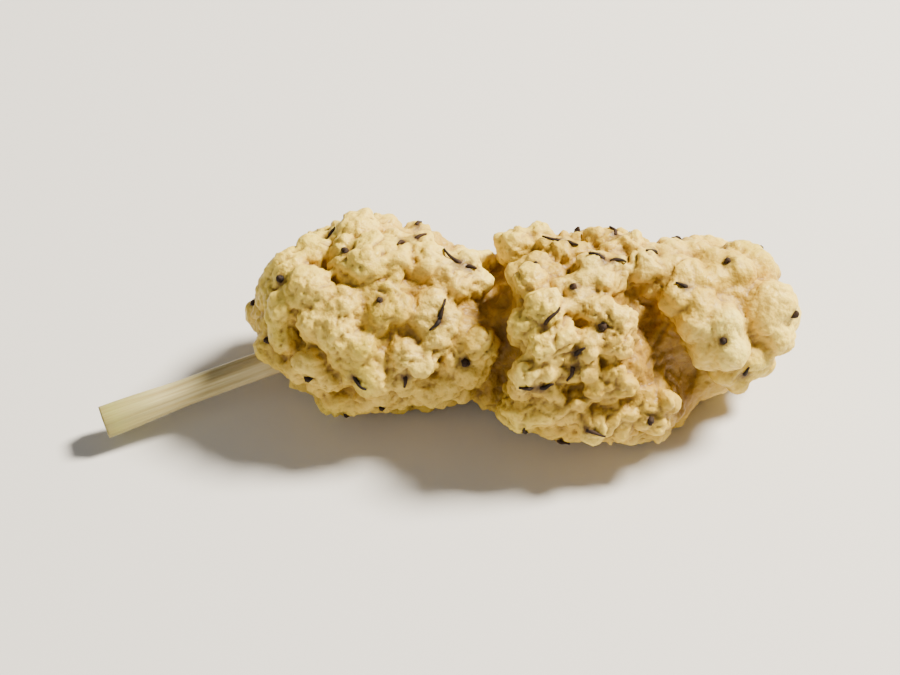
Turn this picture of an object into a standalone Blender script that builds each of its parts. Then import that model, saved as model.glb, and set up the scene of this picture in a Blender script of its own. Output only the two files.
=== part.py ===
"""A dried white mulberry on its stalk, lying on its side as it came to rest.

The fruit is one aggregate body: a lumpy core with two deep folds, covered all round by shrivelled
drupelets. Each drupelet is a knob crowned by four fleshy sepals that close round the dry stub of its
style. The stalk is a ribbed stem that swells at its picked end and stands in a plain hole in the
fruit's stalk end.

Metres, +Z up. The fruit lies along X, its stalk towards -X and its tip towards +X. The origin is the
middle of the object's footprint, on the surface that it lies on.
"""

import math
import random

import bmesh
import bpy
from mathutils import Matrix, Vector

# The whole is built about the middle of the fruit. Then its underside is cut flat and put at Z = 0, and
# its footprint is centred.
UNDERSIDE = 0.00018
FOOTPRINT_SHIFT = Vector((0.00269, 0.00009, -UNDERSIDE))

# The core's lobes, from the stalk to the tip: centre and radii of an ellipsoid.
HEAD = (Vector((-0.0050, 0.0006, 0.00335)), Vector((0.0040, 0.0025, 0.0024)))
MIDDLE = (Vector((0.0022, -0.0002, 0.00355)), Vector((0.0043, 0.0030, 0.0027)))
HEEL = (Vector((0.0047, -0.0018, 0.00235)), Vector((0.0017, 0.0012, 0.0010)))
TIP = (Vector((0.0067, 0.0005, 0.00375)), Vector((0.0024, 0.0019, 0.0019)))
LOBES = (HEAD, MIDDLE, HEEL, TIP)
LOBE_BLEND = 0.0009

# The folds where the flesh has shrunk away: depth, width, how near a drupelet grows, and a route.
WAIST_FOLD = (
    0.00110,
    0.00070,
    0.00162,
    (
        Vector((-0.0013, 0.0026, 0.0048)),
        Vector((-0.0012, 0.0009, 0.0059)),
        Vector((-0.0010, -0.0013, 0.0057)),
        Vector((-0.0009, -0.0023, 0.0043)),
        Vector((-0.0009, -0.0020, 0.0028)),
    ),
)
TIP_FOLD = (
    0.00110,
    0.00080,
    0.00175,
    (
        Vector((0.0044, -0.0012, 0.0058)),
        Vector((0.0051, -0.0021, 0.0050)),
        Vector((0.0058, -0.0023, 0.0040)),
        Vector((0.0064, -0.0020, 0.0028)),
    ),
)
FOLDS = (WAIST_FOLD, TIP_FOLD)
SEARCH_REACH = 0.010  # from the axis, past every part of the core
SEARCH_HALVINGS = 24
SLOPE_STEP = 0.0002
CORE_ROUND = 16
CORE_ALONG = 20

# Drupelets: their spacing at the stalk, in the middle and at the tip.
SPACING_HEAD = 0.00202
SPACING_MIDDLE = 0.00170
SPACING_TIP = 0.00204
HEAD_WIDENS = 0.5  # how far from the middle the spacing has grown to the stalk end's
TIP_WIDENS = 0.6
GOLDEN_ANGLE = math.radians(137.508)
SPIRAL_STEPS = 1500  # places along the spiral, each taken if there is room for a drupelet
RADIUS_SHARE = 0.74  # of the spacing
SIZE_SPREAD = 0.17
LEAN_SPREAD = 0.22
STAND_OUT = 0.02  # of the spacing, from the core to a drupelet's centre
STAND_SPREAD = 0.07
CROWD_SHARE = 0.74  # of the spacing: how near to each other two drupelets start to grow
CROWD_STEPS = 16
CROWD_PUSH = 0.4
SETTLE_STEPS = 3
SEED = 41

# A drupelet's parts, as shares of its radius.
KNOB = 0.80
SEPALS = 4
SEPAL_OUT = 0.62
SEPAL_RADIUS = 0.47
SEPAL_SPREAD = 0.20
SEPAL_TILT = math.radians(50.0)
TILT_SPREAD = math.radians(12.0)
TURN_SPREAD = math.radians(20.0)
DRUPELET_ROUND = 8
# From the outward direction to the stub's foot, the sepals' crests and the waist.
DRUPELET_RINGS = (math.radians(11.0), math.radians(46.0), math.radians(92.0))

# The dry stub of the style, which stands in the hollow between the sepals.
STUB_REACH = 1.02  # in shares of the drupelet's radius, from its centre
STUB_LEAN_LEAST = 0.05
STUB_LEAN_MOST = 0.28

# The stalk's line, from its root in the fruit to its picked end, and its radii along it.
STALK_LINE = (
    Vector((-0.0070, 0.0002, 0.00285)),
    Vector((-0.0086, -0.0003, 0.00248)),
    Vector((-0.0120, -0.0013, 0.00176)),
    Vector((-0.0156, -0.0026, 0.00120)),
)
ROOT_RADIUS = 0.00068
STALK_RADIUS = 0.00049
END_RADIUS = 0.00060
ROOT_FLARE = 0.16  # share of the length over which the root narrows to the stalk
END_SWELL = 0.30  # share of the length over which the picked end widens
HEADING_STEP = 0.01  # share of the length either side of a ring, for its heading
RIBS = 5
RIB_DEPTH = 0.07
RIB_TWIST = 1.3
STALK_ROUND = 15
STALK_RINGS = 22
SOCKET_GAP = 0.00030
SOCKET_LENGTH = 0.40  # share of the stalk that the cutter follows, out past the drupelets
STALK_CLEARANCE = 0.00105  # from the stalk's line to the nearest drupelet's centre

SURFACE_SIZE = 0.040  # of the block that stands in for the surface when the underside is cut

CREAM = (0.78, 0.64, 0.40, 1.0)
CREAM_ROUGHNESS = 0.62
STRAW = (0.62, 0.55, 0.30, 1.0)
STRAW_ROUGHNESS = 0.58


def clear_scene():
    for thing in list(bpy.data.objects):
        bpy.data.objects.remove(thing)


def make_material(name, colour, roughness):
    material = bpy.data.materials.new(name)
    material.use_nodes = True
    shader = material.node_tree.nodes["Principled BSDF"]
    shader.inputs["Base Color"].default_value = colour
    shader.inputs["Roughness"].default_value = roughness
    return material


def object_from(name, shape, collection):
    """A smooth object with the bmesh's faces, which are then freed."""
    mesh = bpy.data.meshes.new(name)
    shape.to_mesh(mesh)
    shape.free()
    mesh.shade_smooth()
    made = bpy.data.objects.new(name, mesh)
    collection.objects.link(made)
    return made


# The core


def ellipsoid_distance(point, lobe):
    centre, radii = lobe
    scaled = Vector((point - centre)[axis] / radii[axis] for axis in range(3))
    slope = Vector(scaled[axis] / radii[axis] for axis in range(3)).length
    if slope == 0.0:
        return -min(radii)
    return scaled.length * (scaled.length - 1.0) / slope


def smooth_min(first, second, blend):
    share = max(0.0, min(1.0, 0.5 + 0.5 * (second - first) / blend))
    return second + (first - second) * share - blend * share * (1.0 - share)


def nearest_on_route(point, route):
    found = []
    for start, end in zip(route, route[1:]):
        run = end - start
        share = max(0.0, min(1.0, (point - start).dot(run) / run.length_squared))
        found.append(start + run * share)
    return min(found, key=lambda spot: (spot - point).length_squared)


def plump_distance(point):
    """Roughly how far a point is from the core as it was before it folded, and below zero inside it."""
    distance = math.inf
    for lobe in LOBES:
        found = ellipsoid_distance(point, lobe)
        distance = found if distance == math.inf else smooth_min(distance, found, LOBE_BLEND)
    return distance


def core_distance(point):
    """The same for the folded core."""
    distance = plump_distance(point)
    for depth, width, _, route in FOLDS:
        gap = (point - nearest_on_route(point, route)).length
        distance += depth * math.exp(-((gap / width) ** 2))
    return distance


def axis_point(along):
    """A point on the fruit's axis, from the head's centre at -1 to the tip's at 1."""
    x = HEAD[0].x + (TIP[0].x - HEAD[0].x) * (along + 1.0) / 2.0
    start, end = (HEAD[0], MIDDLE[0]) if x < MIDDLE[0].x else (MIDDLE[0], TIP[0])
    return start.lerp(end, (x - start.x) / (end.x - start.x))


def core_point(direction):
    """Where a ray leaves the core. The direction's X also says where on the axis the ray starts."""
    start = axis_point(direction.x)
    inside, outside = 0.0, SEARCH_REACH
    for _ in range(SEARCH_HALVINGS):
        middle = (inside + outside) / 2.0
        if core_distance(start + direction * middle) < 0.0:
            inside = middle
        else:
            outside = middle
    return start + direction * inside


def normal_at(distance, point):
    """The outward direction at a point of the shape that a distance belongs to."""
    slope = Vector()
    for axis in range(3):
        offset = Vector()
        offset[axis] = SLOPE_STEP
        slope[axis] = distance(point + offset) - distance(point - offset)
    return slope.normalized()


def make_core(collection):
    core = bmesh.new()
    poles_along_x = Matrix.Rotation(math.radians(90.0), 4, "Y")
    bmesh.ops.create_uvsphere(
        core, u_segments=CORE_ROUND, v_segments=CORE_ALONG, radius=1.0, matrix=poles_along_x
    )
    for vertex in core.verts:
        vertex.co = core_point(vertex.co.normalized())
    return object_from("core", core, collection)


# The drupelets


def spacing_at(along):
    """The drupelets are largest at the two ends and crowd together in the middle lobe."""
    if along < 0.0:
        return SPACING_MIDDLE + (SPACING_HEAD - SPACING_MIDDLE) * min(1.0, -along / HEAD_WIDENS)
    return SPACING_MIDDLE + (SPACING_TIP - SPACING_MIDDLE) * min(1.0, (along / TIP_WIDENS) ** 2)


def settle(point):
    """Moves a drupelet's foot on to the core."""
    for _ in range(SETTLE_STEPS):
        point = point - normal_at(core_distance, point) * core_distance(point)
    return point


def push_out(foot, barrier, clearance):
    """Moves a foot away from a fold or from the stalk, if it stands nearer to it than its clearance."""
    nearest = nearest_on_route(foot, barrier)
    gap = (foot - nearest).length
    return foot if gap > clearance else nearest + (foot - nearest) * (clearance / gap)


def crowd(feet, spacings):
    """The growing drupelets press each other apart, and stay out of the folds and off the stalk."""
    for _ in range(CROWD_STEPS):
        pushed = []
        for foot, spacing in zip(feet, spacings):
            push = Vector()
            for other in feet:
                gap = (foot - other).length
                if 0.0 < gap < spacing:
                    push += (foot - other) * (spacing / gap - 1.0)
            moved = foot + push * CROWD_PUSH
            for _, _, bare, route in FOLDS:
                moved = push_out(moved, route, bare)
            pushed.append(settle(push_out(moved, STALK_LINE, STALK_CLEARANCE)))
        feet = pushed
    return feet


def sow(draw):
    """The drupelets' feet and spacings: places along one spiral, where there is room for a drupelet."""
    feet, spacings = [], []
    for step in range(SPIRAL_STEPS):
        along = 2.0 * (step + 0.5) / SPIRAL_STEPS - 1.0
        turn = GOLDEN_ANGLE * step
        across = math.sqrt(1.0 - along**2)
        spacing = spacing_at(along) * (1.0 + draw.uniform(-1.0, 1.0) * SIZE_SPREAD)
        foot = core_point(Vector((along, across * math.cos(turn), across * math.sin(turn))))
        if any((foot - nearest_on_route(foot, route)).length < bare for _, _, bare, route in FOLDS):
            continue
        if (foot - nearest_on_route(foot, STALK_LINE)).length < STALK_CLEARANCE:
            continue
        if all((foot - other).length > spacing * CROWD_SHARE for other in feet):
            feet.append(foot)
            spacings.append(spacing)
    return crowd(feet, spacings), spacings


def from_crown(tilt, turn):
    """The direction that leans by a tilt from a drupelet's outward axis, at a turn round it."""
    return Vector((math.sin(tilt) * math.cos(turn), math.sin(tilt) * math.sin(turn), math.cos(tilt)))


def draw_sepals(draw):
    """The sepals round a drupelet's crown, as (centre, radius) in shares of its own radius."""
    first = draw.uniform(0.0, math.tau)
    sepals = []
    for number in range(SEPALS):
        tilt = SEPAL_TILT + draw.uniform(-1.0, 1.0) * TILT_SPREAD
        turn = first + math.tau * number / SEPALS + draw.uniform(-1.0, 1.0) * TURN_SPREAD
        out = SEPAL_OUT * (1.0 + draw.uniform(-1.0, 1.0) * SEPAL_SPREAD)
        size = SEPAL_RADIUS * (1.0 + draw.uniform(-1.0, 1.0) * SEPAL_SPREAD)
        sepals.append((from_crown(tilt, turn) * out, size))
    return first, sepals


def grow_drupelets():
    """Each drupelet as a dictionary of its place, outward direction, size and crown."""
    draw = random.Random(SEED)
    grown = []
    for foot, spacing in zip(*sow(draw)):
        lean = Vector(draw.uniform(-1.0, 1.0) for _ in range(3)) * LEAN_SPREAD
        outward = (normal_at(plump_distance, foot) + lean).normalized()
        stand = spacing * (STAND_OUT + draw.uniform(-1.0, 1.0) * STAND_SPREAD)
        first, sepals = draw_sepals(draw)
        grown.append(
            {
                "foot": foot,
                "centre": foot + outward * stand,
                "outward": outward,
                "radius": spacing * RADIUS_SHARE,
                "first": first,
                "sepals": sepals,
                "stub_turn": draw.uniform(0.0, math.tau),
                "stub_lean": draw.uniform(STUB_LEAN_LEAST, STUB_LEAN_MOST),
            }
        )
    return grown


def skin_reach(direction, sepals):
    """How far out a drupelet's skin is along a direction, as a share of its radius."""
    reach = KNOB
    for centre, size in sepals:
        along = direction.dot(centre)
        inside = size**2 - centre.length_squared + along**2
        if inside > 0.0:
            reach = max(reach, along + math.sqrt(inside))
    return reach


def place(centre, outward):
    return Matrix.Translation(centre) @ outward.to_track_quat("Z", "Y").to_matrix().to_4x4()


def make_drupelet(number, drupelet, collection):
    """A knob of a few rings through its sepals, whose crown pole is drawn out into the stub."""
    rings = len(DRUPELET_RINGS)
    knob = bmesh.new()
    bmesh.ops.create_uvsphere(knob, u_segments=DRUPELET_ROUND, v_segments=rings + 1, radius=1.0)
    for vertex in knob.verts:
        ring = round(vertex.co.angle(Vector((0.0, 0.0, 1.0))) / math.pi * (rings + 1))
        if ring == 0:
            reach = STUB_REACH
            direction = from_crown(drupelet["stub_lean"], drupelet["stub_turn"])
        else:
            tilt = DRUPELET_RINGS[ring - 1] if ring <= rings else math.pi
            direction = from_crown(tilt, drupelet["first"] + math.atan2(vertex.co.y, vertex.co.x))
            reach = skin_reach(direction, drupelet["sepals"])
        vertex.co = direction * reach * drupelet["radius"]
    knob.transform(place(drupelet["centre"], drupelet["outward"]))
    return object_from(f"drupelet_{number:03}", knob, collection)


# The stalk


def stalk_point(share):
    """A point on the smooth curve through the stalk's line."""
    reach = share * (len(STALK_LINE) - 1)
    span = min(int(reach), len(STALK_LINE) - 2)
    local = reach - span
    before = STALK_LINE[span - 1] if span > 0 else STALK_LINE[0] * 2.0 - STALK_LINE[1]
    start, end = STALK_LINE[span], STALK_LINE[span + 1]
    last = span + 2 >= len(STALK_LINE)
    after = end * 2.0 - start if last else STALK_LINE[span + 2]
    return 0.5 * (
        start * 2.0
        + (end - before) * local
        + (before * 2.0 - start * 5.0 + end * 4.0 - after) * local**2
        + (start * 3.0 - before - end * 3.0 + after) * local**3
    )


def ease(share):
    share = max(0.0, min(1.0, share))
    return share * share * (3.0 - 2.0 * share)


def stalk_radius(share):
    flare = (ROOT_RADIUS - STALK_RADIUS) * (1.0 - ease(share / ROOT_FLARE))
    swell = (END_RADIUS - STALK_RADIUS) * ease((share - 1.0 + END_SWELL) / END_SWELL)
    return STALK_RADIUS + flare + swell


def make_stem(name, collection, reach, margin, rib_depth):
    """A closed stem along the stalk's line, up to a share of its length, wider all over by a margin."""
    stem = bmesh.new()
    ring = bmesh.ops.create_circle(stem, cap_ends=False, segments=STALK_ROUND, radius=1.0)["verts"]
    corners = [vertex.co.copy() for vertex in ring]
    rings = [ring]
    edges = list(stem.edges)
    for _ in range(STALK_RINGS):
        edges = [
            part
            for part in bmesh.ops.extrude_edge_only(stem, edges=edges)["geom"]
            if isinstance(part, bmesh.types.BMEdge) and part.is_boundary
        ]
        rings.append([])
        for edge in edges:
            rings[-1] += [vertex for vertex in edge.verts if vertex not in rings[-1]]
    for number, ring in enumerate(rings):
        share = reach * number / STALK_RINGS
        ahead = (stalk_point(share + HEADING_STEP) - stalk_point(share - HEADING_STEP)).normalized()
        frame = place(stalk_point(share) - ahead * (margin if number == 0 else 0.0), ahead)
        for vertex in ring:
            corner = min(corners, key=lambda spot: (spot - vertex.co).length_squared)
            turn = math.atan2(corner.y, corner.x)
            rib = 1.0 + rib_depth * math.cos(RIBS * turn + RIB_TWIST * share)
            vertex.co = frame @ (corner * (stalk_radius(share) * rib + margin))
    bmesh.ops.holes_fill(stem, edges=[edge for edge in stem.edges if edge.is_boundary], sides=0)
    bmesh.ops.recalc_face_normals(stem, faces=list(stem.faces))
    return object_from(name, stem, collection)


# Putting it together


def apply_boolean(target, operation, operand):
    joint = target.modifiers.new(operation, "BOOLEAN")
    joint.operation = operation
    joint.solver = "EXACT"
    if isinstance(operand, bpy.types.Collection):
        joint.operand_type = "COLLECTION"
        joint.collection = operand
    else:
        joint.object = operand
    graph = bpy.context.evaluated_depsgraph_get()
    joined = bpy.data.meshes.new_from_object(target.evaluated_get(graph))
    target.modifiers.remove(joint)
    target.data = joined


def keep_outer_skin(thing):
    """Fills the hollows that the fusing seals between drupelets, and drops its scraps.

    A scrap may hang on the skin by an edge, so a shell ends where more than two triangles meet.
    """
    skin = bmesh.new()
    skin.from_mesh(thing.data)
    bmesh.ops.triangulate(skin, faces=list(skin.faces))
    left = set(skin.faces)
    shells = []
    while left:
        shell, border = [], [left.pop()]
        while border:
            face = border.pop()
            shell.append(face)
            for edge in face.edges:
                beyond = [other for other in edge.link_faces if other in left]
                if len(edge.link_faces) == 2 and beyond:
                    left.remove(beyond[0])
                    border.append(beyond[0])
        shells.append(shell)
    shells.sort(key=len)
    inner = [face for shell in shells[:-1] for face in shell]
    bmesh.ops.delete(skin, geom=inner, context="FACES")
    skin.to_mesh(thing.data)
    skin.free()


def make_surface(collection):
    """The block whose top cuts the fruit's underside flat."""
    block = bmesh.new()
    bmesh.ops.create_cube(block, size=SURFACE_SIZE)
    bmesh.ops.translate(block, vec=(0.0, 0.0, UNDERSIDE - SURFACE_SIZE / 2.0), verts=list(block.verts))
    return object_from("surface", block, collection)


def make_fruit(scene):
    repeats = bpy.data.collections.new("repeats")
    scene.collection.children.link(repeats)
    fruit = make_core(scene.collection)
    fruit.name = "fruit"
    for number, drupelet in enumerate(grow_drupelets()):
        make_drupelet(number, drupelet, repeats)
    apply_boolean(fruit, "UNION", repeats)
    for repeat in list(repeats.objects):
        bpy.data.objects.remove(repeat)
    bpy.data.collections.remove(repeats)
    socket = make_stem("stalk_socket", scene.collection, SOCKET_LENGTH, SOCKET_GAP, 0.0)
    for cutter in (socket, make_surface(scene.collection)):
        apply_boolean(fruit, "DIFFERENCE", cutter)
        bpy.data.objects.remove(cutter)
    keep_outer_skin(fruit)
    return fruit


def main():
    clear_scene()
    scene = bpy.context.scene
    whole = bpy.data.objects.new("mulberry", None)
    whole.location = FOOTPRINT_SHIFT
    scene.collection.objects.link(whole)
    fruit = make_fruit(scene)
    stalk = make_stem("stalk", scene.collection, 1.0, 0.0, RIB_DEPTH)
    fruit.data.materials.append(make_material("dried_flesh", CREAM, CREAM_ROUGHNESS))
    stalk.data.materials.append(make_material("dry_stalk", STRAW, STRAW_ROUGHNESS))
    for piece in (fruit, stalk):
        piece.parent = whole


main()
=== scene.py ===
import math
import random

import bmesh
import bpy
from mathutils import Matrix, Vector, kdtree, noise
from mathutils.bvhtree import BVHTree


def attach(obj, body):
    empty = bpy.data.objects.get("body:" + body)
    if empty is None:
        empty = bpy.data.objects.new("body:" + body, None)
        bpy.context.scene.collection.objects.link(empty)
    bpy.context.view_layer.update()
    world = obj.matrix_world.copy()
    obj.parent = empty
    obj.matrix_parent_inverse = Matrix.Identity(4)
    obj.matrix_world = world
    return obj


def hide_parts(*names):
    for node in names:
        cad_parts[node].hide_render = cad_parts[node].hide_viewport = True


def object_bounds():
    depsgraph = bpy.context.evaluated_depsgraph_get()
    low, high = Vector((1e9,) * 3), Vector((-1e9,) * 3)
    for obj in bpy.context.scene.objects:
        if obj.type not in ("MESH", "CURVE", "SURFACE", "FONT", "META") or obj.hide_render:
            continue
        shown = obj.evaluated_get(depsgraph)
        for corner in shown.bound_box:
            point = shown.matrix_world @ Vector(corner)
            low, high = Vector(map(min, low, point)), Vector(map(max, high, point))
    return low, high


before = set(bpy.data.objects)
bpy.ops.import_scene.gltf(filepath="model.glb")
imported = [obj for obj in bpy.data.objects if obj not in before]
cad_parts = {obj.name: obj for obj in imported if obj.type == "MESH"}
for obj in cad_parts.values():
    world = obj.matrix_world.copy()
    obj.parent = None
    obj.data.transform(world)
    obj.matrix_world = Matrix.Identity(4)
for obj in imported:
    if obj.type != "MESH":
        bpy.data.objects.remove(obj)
cad_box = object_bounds()


# The studio: a pale matt table top under a softbox, behind and to the right of the fruit, with a much
# weaker one in front to the left. The camera looks down on the fruit as steeply as the photograph does.

VIEW_ELEVATION = math.radians(47.0)
LENS = 85.0
SENSOR = 36.0
FRUIT_IN_FRAME = 0.78
LOOK_AT = Vector((0.0, 0.0, 0.0030))


def aim(thing, spot, target):
    thing.location = spot
    thing.rotation_mode = "QUATERNION"
    thing.rotation_quaternion = (target - spot).to_track_quat("-Z", "Y")


def add_camera():
    lens = bpy.data.cameras.new("camera")
    lens.lens = LENS
    lens.sensor_width = SENSOR
    lens.clip_start = 0.005
    camera = bpy.data.objects.new("camera", lens)
    bpy.context.collection.objects.link(camera)
    low, high = cad_box
    distance = (high[0] - low[0]) / FRUIT_IN_FRAME * LENS / SENSOR
    back = Vector((0.0, -math.cos(VIEW_ELEVATION), math.sin(VIEW_ELEVATION)))
    aim(camera, LOOK_AT + back * distance, LOOK_AT)
    bpy.context.scene.camera = camera


def add_softbox(name, spot, size, power, colour):
    light = bpy.data.lights.new(name, "AREA")
    light.shape = "DISK"
    light.size = size
    light.energy = power
    light.color = colour
    softbox = bpy.data.objects.new(name, light)
    bpy.context.collection.objects.link(softbox)
    aim(softbox, spot, LOOK_AT)


def add_table():
    top = bmesh.new()
    bmesh.ops.create_grid(top, x_segments=1, y_segments=1, size=0.6)
    mesh = bpy.data.meshes.new("table")
    top.to_mesh(mesh)
    top.free()
    table = bpy.data.objects.new("table", mesh)
    bpy.context.collection.objects.link(table)
    matt = bpy.data.materials.new("matt_table")
    matt.use_nodes = True
    shader = matt.node_tree.nodes["Principled BSDF"]
    shader.inputs["Base Color"].default_value = (0.72, 0.70, 0.67, 1.0)
    shader.inputs["Roughness"].default_value = 0.85
    mesh.materials.append(matt)


def light_room():
    room = bpy.data.worlds.new("room")
    room.use_nodes = True
    sky = room.node_tree.nodes["Background"]
    sky.inputs["Color"].default_value = (1.0, 0.985, 0.95, 1.0)
    sky.inputs["Strength"].default_value = 0.19
    bpy.context.scene.world = room


add_camera()
add_table()
light_room()
add_softbox("key", Vector((0.150, 0.060, 0.185)), 0.060, 2.6, (1.0, 0.93, 0.80))
add_softbox("fill", Vector((-0.16, -0.16, 0.12)), 0.20, 0.14, (1.0, 0.98, 0.95))


# The fruit: a short spike of flowers that swelled into one berry and then dried. Its core shrank away
# along two folds, and elsewhere drupelets crowd it, each four fleshy sepals shrivelled round a seed. Core
# and drupelets grow by the same rule as the solid, and are then melted into one skin.

FOOTPRINT_SHIFT = Vector((0.00269, 0.00009, -0.00018))

HEAD = (Vector((-0.0050, 0.0006, 0.00335)), Vector((0.0040, 0.0025, 0.0024)))
MIDDLE = (Vector((0.0022, -0.0002, 0.00355)), Vector((0.0043, 0.0030, 0.0027)))
HEEL = (Vector((0.0047, -0.0018, 0.00235)), Vector((0.0017, 0.0012, 0.0010)))
TIP = (Vector((0.0067, 0.0005, 0.00375)), Vector((0.0024, 0.0019, 0.0019)))
LOBES = (HEAD, MIDDLE, HEEL, TIP)
LOBE_BLEND = 0.0009

WAIST_FOLD = (
    0.00110,
    0.00070,
    0.00162,
    (
        Vector((-0.0013, 0.0026, 0.0048)),
        Vector((-0.0012, 0.0009, 0.0059)),
        Vector((-0.0010, -0.0013, 0.0057)),
        Vector((-0.0009, -0.0023, 0.0043)),
        Vector((-0.0009, -0.0020, 0.0028)),
    ),
)
TIP_FOLD = (
    0.00110,
    0.00080,
    0.00175,
    (
        Vector((0.0044, -0.0012, 0.0058)),
        Vector((0.0051, -0.0021, 0.0050)),
        Vector((0.0058, -0.0023, 0.0040)),
        Vector((0.0064, -0.0020, 0.0028)),
    ),
)
FOLDS = (WAIST_FOLD, TIP_FOLD)
SEARCH_REACH = 0.010
SEARCH_HALVINGS = 24
SLOPE_STEP = 0.0002

STALK_LINE = (
    Vector((-0.0070, 0.0002, 0.00285)),
    Vector((-0.0086, -0.0003, 0.00248)),
    Vector((-0.0120, -0.0013, 0.00176)),
    Vector((-0.0156, -0.0026, 0.00120)),
)
STALK_CLEARANCE = 0.00105

SPACING_HEAD = 0.00202
SPACING_MIDDLE = 0.00170
SPACING_TIP = 0.00204
HEAD_WIDENS = 0.5
TIP_WIDENS = 0.6
GOLDEN_ANGLE = math.radians(137.508)
SPIRAL_STEPS = 1500
RADIUS_SHARE = 0.74
SIZE_SPREAD = 0.17
LEAN_SPREAD = 0.22
STAND_OUT = 0.02
STAND_SPREAD = 0.07
CROWD_SHARE = 0.74
CROWD_STEPS = 16
CROWD_PUSH = 0.4
SETTLE_STEPS = 3
SEED = 41

KNOB = 0.80
SEPALS = 4
SEPAL_OUT = 0.62
SEPAL_RADIUS = 0.47
SEPAL_SPREAD = 0.20
SEPAL_TILT = math.radians(50.0)
TILT_SPREAD = math.radians(12.0)
TURN_SPREAD = math.radians(20.0)
STUB_LEAN_LEAST = 0.05
STUB_LEAN_MOST = 0.28


def ellipsoid_distance(point, lobe):
    centre, radii = lobe
    scaled = Vector((point - centre)[axis] / radii[axis] for axis in range(3))
    slope = Vector(scaled[axis] / radii[axis] for axis in range(3)).length
    if slope == 0.0:
        return -min(radii)
    return scaled.length * (scaled.length - 1.0) / slope


def clamp(value):
    return max(0.0, min(1.0, value))


def smooth_min(first, second, blend):
    share = clamp(0.5 + 0.5 * (second - first) / blend)
    return second + (first - second) * share - blend * share * (1.0 - share)


def nearest_on_route(point, route):
    found = []
    for start, end in zip(route, route[1:]):
        run = end - start
        share = clamp((point - start).dot(run) / run.length_squared)
        found.append(start + run * share)
    return min(found, key=lambda spot: (spot - point).length_squared)


def plump_distance(point):
    """Roughly how far a point is from the core as it was before it folded, and below zero inside it."""
    distance = math.inf
    for lobe in LOBES:
        found = ellipsoid_distance(point, lobe)
        distance = found if distance == math.inf else smooth_min(distance, found, LOBE_BLEND)
    return distance


def core_distance(point):
    """The same for the folded core."""
    distance = plump_distance(point)
    for depth, width, _, route in FOLDS:
        gap = (point - nearest_on_route(point, route)).length
        distance += depth * math.exp(-((gap / width) ** 2))
    return distance


def axis_point(along):
    x = HEAD[0].x + (TIP[0].x - HEAD[0].x) * (along + 1.0) / 2.0
    start, end = (HEAD[0], MIDDLE[0]) if x < MIDDLE[0].x else (MIDDLE[0], TIP[0])
    return start.lerp(end, (x - start.x) / (end.x - start.x))


def core_point(direction):
    start = axis_point(direction.x)
    inside, outside = 0.0, SEARCH_REACH
    for _ in range(SEARCH_HALVINGS):
        middle = (inside + outside) / 2.0
        if core_distance(start + direction * middle) < 0.0:
            inside = middle
        else:
            outside = middle
    return start + direction * inside


def normal_at(distance, point):
    """The outward direction at a point of the shape that a distance belongs to."""
    slope = Vector()
    for axis in range(3):
        offset = Vector()
        offset[axis] = SLOPE_STEP
        slope[axis] = distance(point + offset) - distance(point - offset)
    return slope.normalized()


def spacing_at(along):
    if along < 0.0:
        return SPACING_MIDDLE + (SPACING_HEAD - SPACING_MIDDLE) * min(1.0, -along / HEAD_WIDENS)
    return SPACING_MIDDLE + (SPACING_TIP - SPACING_MIDDLE) * min(1.0, (along / TIP_WIDENS) ** 2)


def settle(point):
    for _ in range(SETTLE_STEPS):
        point = point - normal_at(core_distance, point) * core_distance(point)
    return point


def push_out(foot, barrier, clearance):
    nearest = nearest_on_route(foot, barrier)
    gap = (foot - nearest).length
    return foot if gap > clearance else nearest + (foot - nearest) * (clearance / gap)


def crowd(feet, spacings):
    """The growing drupelets press each other apart, and stay out of the folds and off the stalk."""
    for _ in range(CROWD_STEPS):
        pushed = []
        for foot, spacing in zip(feet, spacings):
            push = Vector()
            for other in feet:
                gap = (foot - other).length
                if 0.0 < gap < spacing:
                    push += (foot - other) * (spacing / gap - 1.0)
            moved = foot + push * CROWD_PUSH
            for _, _, bare, route in FOLDS:
                moved = push_out(moved, route, bare)
            pushed.append(settle(push_out(moved, STALK_LINE, STALK_CLEARANCE)))
        feet = pushed
    return feet


def sow(draw):
    """The drupelets' feet and spacings: places along one spiral, where there is room for a drupelet."""
    feet, spacings = [], []
    for step in range(SPIRAL_STEPS):
        along = 2.0 * (step + 0.5) / SPIRAL_STEPS - 1.0
        turn = GOLDEN_ANGLE * step
        across = math.sqrt(1.0 - along**2)
        spacing = spacing_at(along) * (1.0 + draw.uniform(-1.0, 1.0) * SIZE_SPREAD)
        foot = core_point(Vector((along, across * math.cos(turn), across * math.sin(turn))))
        if any((foot - nearest_on_route(foot, route)).length < bare for _, _, bare, route in FOLDS):
            continue
        if (foot - nearest_on_route(foot, STALK_LINE)).length < STALK_CLEARANCE:
            continue
        if all((foot - other).length > spacing * CROWD_SHARE for other in feet):
            feet.append(foot)
            spacings.append(spacing)
    return crowd(feet, spacings), spacings


def from_crown(tilt, turn):
    return Vector((math.sin(tilt) * math.cos(turn), math.sin(tilt) * math.sin(turn), math.cos(tilt)))


def draw_sepals(draw):
    first = draw.uniform(0.0, math.tau)
    sepals = []
    for number in range(SEPALS):
        tilt = SEPAL_TILT + draw.uniform(-1.0, 1.0) * TILT_SPREAD
        turn = first + math.tau * number / SEPALS + draw.uniform(-1.0, 1.0) * TURN_SPREAD
        out = SEPAL_OUT * (1.0 + draw.uniform(-1.0, 1.0) * SEPAL_SPREAD)
        size = SEPAL_RADIUS * (1.0 + draw.uniform(-1.0, 1.0) * SEPAL_SPREAD)
        sepals.append((from_crown(tilt, turn) * out, size))
    return first, sepals


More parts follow.
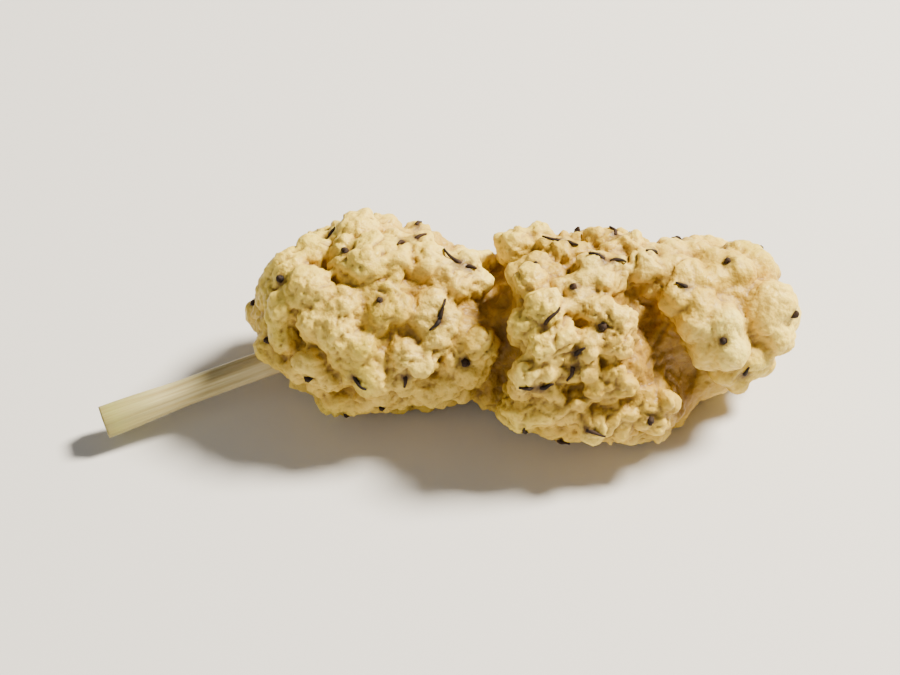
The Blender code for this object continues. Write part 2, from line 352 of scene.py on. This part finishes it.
def grow_drupelets():
    draw = random.Random(SEED)
    grown = []
    for foot, spacing in zip(*sow(draw)):
        lean = Vector(draw.uniform(-1.0, 1.0) for _ in range(3)) * LEAN_SPREAD
        outward = (normal_at(plump_distance, foot) + lean).normalized()
        stand = spacing * (STAND_OUT + draw.uniform(-1.0, 1.0) * STAND_SPREAD)
        _, sepals = draw_sepals(draw)
        grown.append(
            {
                "foot": foot,
                "centre": foot + outward * stand,
                "outward": outward,
                "radius": spacing * RADIUS_SHARE,
                "sepals": sepals,
                "stub_turn": draw.uniform(0.0, math.tau),
                "stub_lean": draw.uniform(STUB_LEAN_LEAST, STUB_LEAN_MOST),
            }
        )
    return grown


def place(centre, outward):
    return Matrix.Translation(centre) @ outward.to_track_quat("Z", "Y").to_matrix().to_4x4()


CRISP_HEAD = 0.75
CRISP_TIP = 0.30
SOFTENS_STALKWARD = -0.0010
SOFTENS_TIPWARD = 0.0046
SOFTENS_OVER = 0.0018
FILL_CRISP = 0.00040
FILL_SOFT = 0.00082
FILL_LUMPS = 0.30
FILL_LUMP_SIZE = 0.0007
FOLD_BANK = 1.6
CORE_SIDES = 60
CORE_RINGS = 90

DRUPELET_SUBDIVISIONS = 5
OWN_NOISE = 9000.0
MELT_CRISP = 0.04
MELT_SOFT = 0.30
SWELL = 0.055
SWELL_SIZE = 2.3
PLEATS = 5
PLEAT_SWAY = 2.6
PLEAT_DEPTH = 0.120
PLEAT_WIDTH = 0.6
PUCKER = 0.080
PUCKER_SIZE = 3.6
PUCKER_WIDTH = 0.22

VOXEL = 0.00010
SOFT_ROUNDS = 4
SOFT_BELOW = 0.5
CRUMPLES = ((0.00030, 0.00068), (0.00015, 0.00033))
CRUMPLE_BEND = 0.9
CRUMPLE_BEND_SIZE = 0.6
CRUMPLE_LEVEL = 0.22
CRUMPLE_LEAST = 0.30
PRESS = 0.00012

TONE_BLEND = 0.0004
CREAM_HEIGHT = 0.00145
FINE_ROUNDS, FINE_HOLLOW = 5, 0.000055
BROAD_ROUNDS, BROAD_HOLLOW = 24, 0.00020
CREASE_START = 0.10


def ease(share):
    share = clamp(share)
    return share * share * (3.0 - 2.0 * share)


def crispness(x):
    """How sharply the flesh crumpled: most in the middle lobe, less in the head, least at the tip."""
    stalkward = ease((SOFTENS_STALKWARD - x) / SOFTENS_OVER)
    tipward = ease((x - SOFTENS_TIPWARD) / SOFTENS_OVER)
    return 1.0 - (1.0 - CRISP_HEAD) * stalkward - (1.0 - CRISP_TIP) * tipward


def furrow(value, width):
    """One on the line where a noise is zero, and none a little beside it."""
    return max(0.0, 1.0 - abs(value) / width) ** 2


# Without this seed the puffs would come out differently on every run.
noise.seed_set(SEED)


def crumple(point):
    """How far the dried skin stands out at a point: round puffs with sharp creases between them."""
    raised = 0.0
    for height, size in CRUMPLES:
        spot = point / size
        bend = noise.noise_vector(spot * CRUMPLE_BEND_SIZE) * CRUMPLE_BEND
        raised += height * (abs(noise.noise(spot + bend)) - CRUMPLE_LEVEL)
    return raised


def soft_reach(direction, sepals, blend):
    """How far out a drupelet's skin is along a direction, with its sepals melted together."""
    reach = KNOB
    for centre, size in sepals:
        along = direction.dot(centre)
        inside = size**2 - centre.length_squared + along**2
        if inside > 0.0:
            reach = -smooth_min(-reach, -(along + math.sqrt(inside)), blend)
    return reach


def add_drupelet(skin, drupelet):
    """Shapes one drupelet: its sepals, the pleats that run up to its crown, and puckers across them."""
    made = bmesh.ops.create_icosphere(skin, subdivisions=DRUPELET_SUBDIVISIONS, radius=1.0)["verts"]
    turned = place(drupelet["centre"], drupelet["outward"])
    own = drupelet["foot"] * OWN_NOISE
    crisp = crispness(drupelet["foot"].x)
    blend = MELT_SOFT + (MELT_CRISP - MELT_SOFT) * crisp
    for vertex in made:
        direction = vertex.co.normalized()
        reach = soft_reach(direction, drupelet["sepals"], blend)
        reach += SWELL * noise.noise(direction * SWELL_SIZE + own)
        sway = PLEAT_SWAY * noise.noise(direction * SWELL_SIZE - own)
        turn = math.atan2(direction.y, direction.x)
        across = math.hypot(direction.x, direction.y)
        reach -= PLEAT_DEPTH * crisp * across * furrow(math.sin(PLEATS * turn + sway), PLEAT_WIDTH)
        reach -= PUCKER * crisp * furrow(noise.noise(direction * PUCKER_SIZE + own), PUCKER_WIDTH)
        vertex.co = turned @ (direction * reach * drupelet["radius"])


def fill_at(point):
    """How thick the flesh lies over the core between drupelets. It thins out into the folds."""
    thick = FILL_SOFT + (FILL_CRISP - FILL_SOFT) * crispness(point.x)
    for _, width, _, route in FOLDS:
        gap = (point - nearest_on_route(point, route)).length
        thick *= 1.0 - math.exp(-((gap / (width * FOLD_BANK)) ** 4))
    return thick


def add_core(skin):
    poles_along_x = Matrix.Rotation(math.radians(90.0), 4, "Y")
    made = bmesh.ops.create_uvsphere(
        skin, u_segments=CORE_SIDES, v_segments=CORE_RINGS, radius=1.0, matrix=poles_along_x
    )["verts"]
    for vertex in made:
        foot = core_point(vertex.co.normalized())
        lumps = 1.0 + FILL_LUMPS * noise.noise(foot / FILL_LUMP_SIZE)
        vertex.co = foot + normal_at(core_distance, foot) * fill_at(foot) * lumps


def melt(shape, voxel):
    """One closed skin round everything in a bmesh, which it replaces."""
    mesh = bpy.data.meshes.new("melting")
    shape.to_mesh(mesh)
    shape.free()
    thing = bpy.data.objects.new("melting", mesh)
    bpy.context.collection.objects.link(thing)
    remesh = thing.modifiers.new("skin", "REMESH")
    remesh.mode = "VOXEL"
    remesh.voxel_size = voxel
    melted = bmesh.new()
    melted.from_object(thing, bpy.context.evaluated_depsgraph_get())
    bpy.data.objects.remove(thing)
    bpy.data.meshes.remove(mesh)
    return melted


def drop_inner_shells(shape):
    """The pockets that the melting closed off inside are filled."""
    left = set(shape.verts)
    shells = []
    while left:
        shell, border = [], [left.pop()]
        while border:
            vertex = border.pop()
            shell.append(vertex)
            for edge in vertex.link_edges:
                other = edge.other_vert(vertex)
                if other in left:
                    left.remove(other)
                    border.append(other)
        shells.append(shell)
    shells.sort(key=len)
    bmesh.ops.delete(shape, geom=[vertex for shell in shells[:-1] for vertex in shell], context="VERTS")


def smooth(shape, verts, rounds):
    for _ in range(rounds):
        bmesh.ops.smooth_vert(
            shape, verts=verts, factor=0.5, use_axis_x=True, use_axis_y=True, use_axis_z=True
        )


def hollowness(shape, rounds):
    """How far each vertex lies below its smoothed surroundings, in metres."""
    shape.normal_update()
    smoothed = shape.copy()
    smooth(smoothed, smoothed.verts, rounds)
    found = [(after.co - before.co).dot(before.normal) for before, after in zip(shape.verts, smoothed.verts)]
    smoothed.free()
    return found


def set_values(mesh, name, values):
    layer = mesh.attributes.new(name, "FLOAT", "POINT")
    layer.data.foreach_set("value", values)


def finish_piece(name, shape, material, node):
    """A smooth object at the origin from a bmesh, which stands for a node of the model."""
    mesh = bpy.data.meshes.new(name)
    shape.to_mesh(mesh)
    shape.free()
    mesh.shade_smooth()
    mesh.materials.append(material)
    piece = bpy.data.objects.new(name, mesh)
    bpy.context.collection.objects.link(piece)
    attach(piece, "root")
    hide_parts(node)
    return piece


def new_group(name, inputs, outputs):
    """An empty node group with its sockets, given as (name, kind, default)."""
    group = bpy.data.node_groups.new(name, "ShaderNodeTree")
    for label, kind, default in inputs:
        group.interface.new_socket(label, in_out="INPUT", socket_type=kind).default_value = default
    for label, kind in outputs:
        group.interface.new_socket(label, in_out="OUTPUT", socket_type=kind)
    return group, group.nodes.new("NodeGroupInput"), group.nodes.new("NodeGroupOutput")


def make_mottle():
    """Soft blotches and fine grain, each from 0 to 1, by their sizes in metres."""
    group, given, out = new_group(
        "mottle",
        (("Blotch Size", "NodeSocketFloat", 0.001), ("Grain Size", "NodeSocketFloat", 0.0002)),
        (("Blotch", "NodeSocketFloat"), ("Grain", "NodeSocketFloat")),
    )
    place_on = group.nodes.new("ShaderNodeTexCoord")
    for size, result, detail in (("Blotch Size", "Blotch", 3.0), ("Grain Size", "Grain", 4.0)):
        scale = group.nodes.new("ShaderNodeMath")
        scale.operation = "DIVIDE"
        scale.inputs[0].default_value = 1.0
        group.links.new(given.outputs[size], scale.inputs[1])
        cloud = group.nodes.new("ShaderNodeTexNoise")
        cloud.inputs["Detail"].default_value = detail
        group.links.new(place_on.outputs["Object"], cloud.inputs["Vector"])
        group.links.new(scale.outputs[0], cloud.inputs["Scale"])
        spread = group.nodes.new("ShaderNodeMapRange")
        spread.inputs["From Min"].default_value = 0.32
        spread.inputs["From Max"].default_value = 0.68
        group.links.new(cloud.outputs["Fac"], spread.inputs["Value"])
        group.links.new(spread.outputs["Result"], out.inputs[result])
    return group


MOTTLE = make_mottle()


def add_mottle(nodes, blotch_size, grain_size):
    mottle = nodes.new("ShaderNodeGroup")
    mottle.node_tree = MOTTLE
    mottle.inputs["Blotch Size"].default_value = blotch_size
    mottle.inputs["Grain Size"].default_value = grain_size
    return mottle


def add_ramp(nodes, stops):
    ramp = nodes.new("ShaderNodeValToRGB")
    while len(ramp.color_ramp.elements) < len(stops):
        ramp.color_ramp.elements.new(0.5)
    for element, (position, colour) in zip(ramp.color_ramp.elements, stops):
        element.position = position
        element.color = (*colour, 1.0)
    return ramp


def add_mix(tree, blend, factor, first, second):
    """A colour mix of a factor and two colours, each a socket or a value, and its result."""
    mix = tree.nodes.new("ShaderNodeMix")
    mix.data_type = "RGBA"
    mix.blend_type = blend
    for socket, value in ((mix.inputs["Factor"], factor), (mix.inputs[6], first), (mix.inputs[7], second)):
        if isinstance(value, bpy.types.NodeSocket):
            tree.links.new(value, socket)
        else:
            socket.default_value = value
    return mix.outputs[2]


def add_math(tree, operation, *values):
    """A math node on sockets or numbers, and its result."""
    node = tree.nodes.new("ShaderNodeMath")
    node.operation = operation
    for socket, value in zip(node.inputs, values):
        if isinstance(value, bpy.types.NodeSocket):
            tree.links.new(value, socket)
        else:
            socket.default_value = value
    return node.outputs[0]


def read_value(nodes, name):
    reader = nodes.new("ShaderNodeAttribute")
    reader.attribute_name = name
    return reader.outputs["Fac"]


def make_flesh():
    """Cream sepal tips over honey creases and a brown core, waxy and a little translucent; the low flesh and
    creases are darker partly for their own colour and partly as painted shade.
    """
    material = bpy.data.materials.new("dried_flesh_fine")
    material.use_nodes = True
    tree = material.node_tree
    nodes, links = tree.nodes, tree.links
    shader = nodes["Principled BSDF"]
    mottle = add_mottle(nodes, 0.0012, 0.00020)
    broad = add_mottle(nodes, 0.0034, 0.00048)

    # Darker the lower the flesh lies over the core: partly the brown colour of the bare core, partly painted
    # shade in the valleys between the drupelets.
    flesh = add_ramp(
        nodes,
        (
            (0.00, (0.25, 0.138, 0.014)),
            (0.25, (0.40, 0.242, 0.026)),
            (0.50, (0.57, 0.395, 0.058)),
            (0.76, (0.76, 0.558, 0.105)),
            (1.00, (0.90, 0.715, 0.158)),
        ),
    )
    uneven = add_math(tree, "MULTIPLY_ADD", mottle.outputs["Blotch"], 0.22, read_value(nodes, "height"))
    links.new(add_math(tree, "SUBTRACT", uneven, 0.11), flesh.inputs["Fac"])

    tint = add_ramp(
        nodes,
        (
            (0.00, (0.86, 0.84, 0.48)),
            (0.30, (0.97, 0.92, 0.66)),
            (0.65, (1.00, 0.95, 0.80)),
            (1.00, (1.00, 1.00, 1.00)),
        ),
    )
    links.new(read_value(nodes, "tone"), tint.inputs["Fac"])
    toned = add_mix(tree, "MULTIPLY", 1.0, flesh.outputs["Color"], tint.outputs["Color"])

    patch = add_math(tree, "MULTIPLY", broad.outputs["Blotch"], 0.30)
    patched = add_mix(tree, "MULTIPLY", patch, toned, (0.86, 0.70, 0.40, 1.0))
    # Hollows and creases are mixed towards dark brown: partly their own honey-brown colour, partly painted
    # shade.
    creases_browned_and_shaded = add_mix(tree, "MIX", read_value(nodes, "crease_brown_and_shade"), patched, (0.27, 0.148, 0.016, 1.0))
    crowned = add_mix(tree, "MIX", read_value(nodes, "crown"), creases_browned_and_shaded, (0.13, 0.068, 0.012, 1.0))

    freckle = add_ramp(nodes, ((0.0, (0.52, 0.38, 0.20)), (0.30, (0.90, 0.84, 0.72)), (0.6, (1.0, 1.0, 1.0))))
    links.new(mottle.outputs["Grain"], freckle.inputs["Fac"])
    links.new(
        add_mix(tree, "MULTIPLY", 0.45, crowned, freckle.outputs["Color"]), shader.inputs["Base Color"]
    )

    rough = nodes.new("ShaderNodeMapRange")
    rough.inputs["To Min"].default_value = 0.38
    rough.inputs["To Max"].default_value = 0.64
    links.new(broad.outputs["Grain"], rough.inputs["Value"])
    links.new(rough.outputs["Result"], shader.inputs["Roughness"])

    cells = nodes.new("ShaderNodeTexVoronoi")
    cells.feature = "SMOOTH_F1"
    cells.inputs["Scale"].default_value = 1.0 / 0.00017
    here = nodes.new("ShaderNodeTexCoord")
    links.new(here.outputs["Object"], cells.inputs["Vector"])
    leather = add_math(tree, "MULTIPLY_ADD", cells.outputs["Distance"], -0.7, mottle.outputs["Grain"])
    bump = nodes.new("ShaderNodeBump")
    bump.inputs["Strength"].default_value = 0.65
    bump.inputs["Distance"].default_value = 0.000045
    links.new(leather, bump.inputs["Height"])
    links.new(bump.outputs["Normal"], shader.inputs["Normal"])

    shader.inputs["Subsurface Weight"].default_value = 0.14
    shader.inputs["Subsurface Radius"].default_value = (0.80, 0.66, 0.30)
    shader.inputs["Subsurface Scale"].default_value = 0.0004
    shader.inputs["Specular IOR Level"].default_value = 0.32
    return material


def make_skin(drupelets):
    """The fruit's skin, and a search tree of it on which the stigmas can be laid."""
    rough = bmesh.new()
    add_core(rough)
    for drupelet in drupelets:
        add_drupelet(rough, drupelet)
    skin = melt(rough, VOXEL)
    drop_inner_shells(skin)
    smooth(skin, skin.verts, 1)
    smooth(skin, [vertex for vertex in skin.verts if crispness(vertex.co.x) < SOFT_BELOW], SOFT_ROUNDS)
    skin.normal_update()
    for vertex in skin.verts:
        share = CRUMPLE_LEAST + (1.0 - CRUMPLE_LEAST) * crispness(vertex.co.x)
        vertex.co += vertex.normal * crumple(vertex.co) * share

    crowns = kdtree.KDTree(len(drupelets))
    for number, drupelet in enumerate(drupelets):
        crowns.insert(drupelet["centre"], number)
    crowns.balance()
    draw = random.Random(SEED + 1)
    tones = [draw.random() for _ in drupelets]
    fine, broad = hollowness(skin, FINE_ROUNDS), hollowness(skin, BROAD_ROUNDS)
    heights, toned, creases = [], [], []
    for number, vertex in enumerate(skin.verts):
        near = crowns.find_n(vertex.co, 2)
        share = 0.5 + 0.5 * clamp((near[1][2] - near[0][2]) / TONE_BLEND)
        toned.append(tones[near[0][1]] * share + tones[near[1][1]] * (1.0 - share))
        heights.append(clamp(core_distance(vertex.co) / CREAM_HEIGHT))
        # The crease mask, from how hollow the skin lies: it darkens creases partly for their brown colour and
        # partly as painted shade.
        creases.append(clamp(fine[number] / FINE_HOLLOW + broad[number] / BROAD_HOLLOW - CREASE_START))

    for vertex in skin.verts:
        vertex.co += FOOTPRINT_SHIFT
        if vertex.co.z < PRESS:
            vertex.co.z = PRESS * math.exp((vertex.co.z - PRESS) / PRESS)
    ground = BVHTree.FromBMesh(skin)
    piece = finish_piece("mulberry_skin", skin, make_flesh(), "fruit")
    set_values(piece.data, "height", heights)
    set_values(piece.data, "tone", toned)
    set_values(piece.data, "crease_brown_and_shade", creases)
    return piece, ground


drupelets = grow_drupelets()
mulberry_skin, ground = make_skin(drupelets)


# The stigmas: what is left of the two threads in each drupelet's crown that once caught the pollen. They
# dried nearly black. About half are worn down to a dot, others are one or two short hooks that cling to
# the skin, and a few drupelets have lost theirs. Each is a tapered thread of a few faces.

STIGMA_SIDES = 6
STIGMA_RINGS = 8
BARE_SHARE = 0.10
DOT_SHARE = 0.44
HOOK_SHARE = 0.30
DOT_LENGTHS = (0.00008, 0.00018)
DOT_RADII = (0.00014, 0.00020)
HOOK_LENGTHS = (0.00028, 0.00055)
HOOK_ROOT = 0.000100
HOOK_LEANS = (0.6, 1.1)
HOOK_CURLS = (1.5, 2.1)
HOOK_SWING = 1.3
HOOK_BEND = 0.7
HOOK_CLING = 0.90
DOT_CURL = 1.5
DOT_BEND = 0.3
PAIR_SWING = 0.5
EVENING_ROUNDS = 2
STIGMA_TAPER = 0.42
ROOT_DEPTH = 0.00006
STIGMA_FLOOR = 0.00040
TABLE_GAP = 0.00002
STAIN_CORE = 0.00012
STAIN_EDGE = 0.00034
STIGMA_SEED = 7


def roll_tube(shape, sides, rings, point):
    """A closed tube from a grid: point(turn, along) gives each of its places, along from 0 to 1."""
    made = bmesh.ops.create_grid(
        shape, x_segments=sides, y_segments=rings, size=0.5, calc_uvs=True
    )["verts"]
    for vertex in made:
        vertex.co = point((vertex.co.x + 0.5) * math.tau, vertex.co.y + 0.5)
    bmesh.ops.remove_doubles(shape, verts=made, dist=1e-7)


def lay_line(root, heading, curl, length, thickness, cling):
    """The middle line of a thread that bends from its heading towards its curl, drawn to the skin."""
    spots = []
    for ring in range(STIGMA_RINGS + 1):
        along = ring / STIGMA_RINGS
        spot = root + heading * length * along + curl * length * along**2
        nearest, normal, _, _ = ground.find_nearest(spot)
        lift = (spot - nearest).dot(normal)
        wanted = max(thickness * 0.5, lift * (1.0 - cling))
        spots.append(spot + normal * (wanted - lift) * ease(along * 3.0))
    for _ in range(EVENING_ROUNDS):
        spots[1:-1] = [(a + b * 2.0 + c) / 4.0 for a, b, c in zip(spots, spots[1:], spots[2:])]
    return spots


def add_stigma(shape, spots, thickness):
    def point(turn, along):
        ring = round(along * STIGMA_RINGS)
        ahead = (spots[min(ring + 1, STIGMA_RINGS)] - spots[max(ring - 1, 0)]).normalized()
        side = ahead.cross(Vector((0.31, 0.67, 0.67))).normalized()
        up = side.cross(ahead)
        radius = thickness * (1.0 + (STIGMA_TAPER - 1.0) * along)
        return spots[ring] + (side * math.cos(turn) + up * math.sin(turn)) * radius

    roll_tube(shape, STIGMA_SIDES, STIGMA_RINGS, point)


def make_thread():
    material = bpy.data.materials.new("dry_thread")
    material.use_nodes = True
    tree = material.node_tree
    shader = tree.nodes["Principled BSDF"]
    mottle = add_mottle(tree.nodes, 0.0008, 0.0001)
    shade = add_ramp(tree.nodes, ((0.0, (0.008, 0.004, 0.002)), (1.0, (0.045, 0.020, 0.008))))
    tree.links.new(mottle.outputs["Blotch"], shade.inputs["Fac"])
    tree.links.new(shade.outputs["Color"], shader.inputs["Base Color"])
    shader.inputs["Roughness"].default_value = 0.75
    shader.inputs["Specular IOR Level"].default_value = 0.3
    return material


def stain_roots(roots):
    """The flesh is dark brown in each crown where a stigma is rooted."""
    spots = kdtree.KDTree(len(roots))
    for number, root in enumerate(roots):
        spots.insert(root, number)
    spots.balance()
    stains = []
    for vertex in mulberry_skin.data.vertices:
        _, _, gap = spots.find(vertex.co)
        ragged = 1.0 + 0.5 * noise.noise(vertex.co / STAIN_EDGE * 2.0)
        stains.append(clamp(1.0 - (gap * ragged - STAIN_CORE) / (STAIN_EDGE - STAIN_CORE)))
    set_values(mulberry_skin.data, "crown", stains)


def make_stigmas(drupelets):
    draw = random.Random(STIGMA_SEED)
    threads = bmesh.new()
    threads.loops.layers.uv.new("UVMap")
    roots = []
    for drupelet in drupelets:
        around = place(Vector(), drupelet["outward"]).to_3x3()
        kind = draw.random() - BARE_SHARE
        if kind < 0.0:
            continue
        sides = 1 if kind < DOT_SHARE + HOOK_SHARE else 2
        for side in range(sides):
            turn = drupelet["stub_turn"] + side * math.pi + draw.uniform(-PAIR_SWING, PAIR_SWING)
            lean = around @ from_crown(drupelet["stub_lean"], turn)
            start = drupelet["centre"] + FOOTPRINT_SHIFT + lean * drupelet["radius"] * 2.0
            root, normal, _, _ = ground.ray_cast(start, -lean)
            roots.append(root)
            root = root - normal * ROOT_DEPTH
            if kind < DOT_SHARE:
                length, thickness = draw.uniform(*DOT_LENGTHS) + ROOT_DEPTH, draw.uniform(*DOT_RADII)
                heading, curl, cling = lean, around @ from_crown(DOT_CURL, turn) * DOT_BEND, 0.0
            else:
                length, thickness = draw.uniform(*HOOK_LENGTHS), HOOK_ROOT
                heading = around @ from_crown(draw.uniform(*HOOK_LEANS), turn)
                curl_tilt = draw.uniform(*HOOK_CURLS)
                curl_turn = turn + draw.uniform(-HOOK_SWING, HOOK_SWING)
                curl = around @ from_crown(curl_tilt, curl_turn) * HOOK_BEND
                cling = HOOK_CLING
            if root.z > STIGMA_FLOOR:
                add_stigma(threads, lay_line(root, heading, curl, length, thickness, cling), thickness)
    bmesh.ops.holes_fill(threads, edges=[edge for edge in threads.edges if edge.is_boundary], sides=0)
    bmesh.ops.recalc_face_normals(threads, faces=threads.faces)
    for vertex in threads.verts:
        vertex.co.z = max(vertex.co.z, TABLE_GAP)
    finish_piece("stigmas", threads, make_thread(), "fruit")
    stain_roots(roots)


make_stigmas(drupelets)


# The stalk: the stem that the whole spike of flowers grew on. It dried ribbed and slightly twisted, pale
# straw in colour, and it is thicker and still greenish at the end where it was picked. It is the fruit's
# core grown on, so it widens a little where it comes out between the drupelets.

ROOT_RADIUS = 0.00068
STALK_RADIUS = 0.00049
END_RADIUS = 0.00060
ROOT_FLARE = 0.16
END_SWELL = 0.30
RIBS = 5
RIB_DEPTH = 0.07
RIB_TWIST = 1.3
STALK_SIDES = 60
STALK_RINGS = 160
STALK_FURROW = 0.000030
FURROWS_AROUND = 3.1
FURROWS_ALONG = 7.0
BREAK_DEPTH = 0.000132
BREAK_RAGGED = 0.00008
BREAK_CLOSES = 0.9
BREAK_RINGS = 0.03


def stalk_point(share):
    reach = share * (len(STALK_LINE) - 1)
    span = min(int(reach), len(STALK_LINE) - 2)
    local = reach - span
    before = STALK_LINE[span - 1] if span > 0 else STALK_LINE[0] * 2.0 - STALK_LINE[1]
    start, end = STALK_LINE[span], STALK_LINE[span + 1]
    last = span + 2 >= len(STALK_LINE)
    after = end * 2.0 - start if last else STALK_LINE[span + 2]
    return 0.5 * (
        start * 2.0
        + (end - before) * local
        + (before * 2.0 - start * 5.0 + end * 4.0 - after) * local**2
        + (start * 3.0 - before - end * 3.0 + after) * local**3
    )


def stalk_radius(share):
    flare = (ROOT_RADIUS - STALK_RADIUS) * (1.0 - ease(share / ROOT_FLARE))
    swell = (END_RADIUS - STALK_RADIUS) * ease((share - 1.0 + END_SWELL) / END_SWELL)
    return STALK_RADIUS + flare + swell


def make_straw():
    """Straw with fibres along it, green towards the picked end, and browned where it broke."""
    material = bpy.data.materials.new("dry_stalk_fine")
    material.use_nodes = True
    tree = material.node_tree
    nodes, links = tree.nodes, tree.links
    shader = nodes["Principled BSDF"]
    mottle = add_mottle(nodes, 0.0014, 0.00018)

    length_wise = nodes.new("ShaderNodeUVMap")
    length_wise.uv_map = "UVMap"
    drawn = nodes.new("ShaderNodeMapping")
    drawn.inputs["Scale"].default_value = (26.0, 2.2, 1.0)
    fibres = nodes.new("ShaderNodeTexNoise")
    fibres.inputs["Scale"].default_value = 1.0
    fibres.inputs["Detail"].default_value = 4.0
    links.new(length_wise.outputs["UV"], drawn.inputs["Vector"])
    links.new(drawn.outputs["Vector"], fibres.inputs["Vector"])

    along = nodes.new("ShaderNodeSeparateXYZ")
    links.new(length_wise.outputs["UV"], along.inputs["Vector"])
    ripe = add_ramp(
        nodes,
        (
            (0.30, (0.48, 0.36, 0.15)),
            (0.45, (0.62, 0.53, 0.29)),
            (0.78, (0.58, 0.51, 0.24)),
            (0.93, (0.42, 0.42, 0.12)),
            (0.985, (0.32, 0.27, 0.09)),
        ),
    )
    links.new(along.outputs["Y"], ripe.inputs["Fac"])

    streaks = add_ramp(nodes, ((0.35, (0.62, 0.52, 0.36)), (0.62, (1.0, 1.0, 1.0))))
    links.new(fibres.outputs["Fac"], streaks.inputs["Fac"])
    streaked = add_mix(tree, "MULTIPLY", 0.8, ripe.outputs["Color"], streaks.outputs["Color"])
    spot = add_math(tree, "MULTIPLY", mottle.outputs["Blotch"], 0.3)
    links.new(add_mix(tree, "MIX", spot, streaked, (0.43, 0.33, 0.14, 1.0)), shader.inputs["Base Color"])

    bump = nodes.new("ShaderNodeBump")
    bump.inputs["Strength"].default_value = 0.6
    bump.inputs["Distance"].default_value = 0.00005
    links.new(fibres.outputs["Fac"], bump.inputs["Height"])
    links.new(bump.outputs["Normal"], shader.inputs["Normal"])
    shader.inputs["Roughness"].default_value = 0.52
    shader.inputs["Subsurface Weight"].default_value = 0.12
    shader.inputs["Subsurface Radius"].default_value = (1.0, 0.7, 0.3)
    shader.inputs["Subsurface Scale"].default_value = 0.0004
    return material


def make_stalk():
    def point(turn, along):
        share = min(1.0, along / (1.0 - BREAK_RINGS))
        inward = clamp((along - 1.0 + BREAK_RINGS) / BREAK_RINGS)
        ahead = (stalk_point(share + 0.01) - stalk_point(share - 0.01)).normalized()
        rib = 1.0 + RIB_DEPTH * math.cos(RIBS * turn + RIB_TWIST * share)
        level = Vector((math.cos(turn), math.sin(turn), 0.0))
        around = level * FURROWS_AROUND
        groove = noise.noise(Vector((around.x, around.y, share * FURROWS_ALONG)))
        radius = (stalk_radius(share) * rib + STALK_FURROW * groove) * (1.0 - BREAK_CLOSES * inward)
        back = ahead * BREAK_DEPTH * math.sin(inward * math.pi / 2.0)
        if along > 1.0 - BREAK_RINGS:
            back += ahead * noise.noise(level * (2.0 + 4.0 * inward)) * BREAK_RAGGED
        return place(stalk_point(share) - back, ahead) @ (level * radius) + FOOTPRINT_SHIFT

    stalk = bmesh.new()
    stalk.loops.layers.uv.new("UVMap")
    roll_tube(stalk, STALK_SIDES, STALK_RINGS, point)
    bmesh.ops.holes_fill(stalk, edges=[edge for edge in stalk.edges if edge.is_boundary], sides=0)
    bmesh.ops.recalc_face_normals(stalk, faces=stalk.faces)
    finish_piece("mulberry_stalk", stalk, make_straw(), "stalk")


make_stalk()
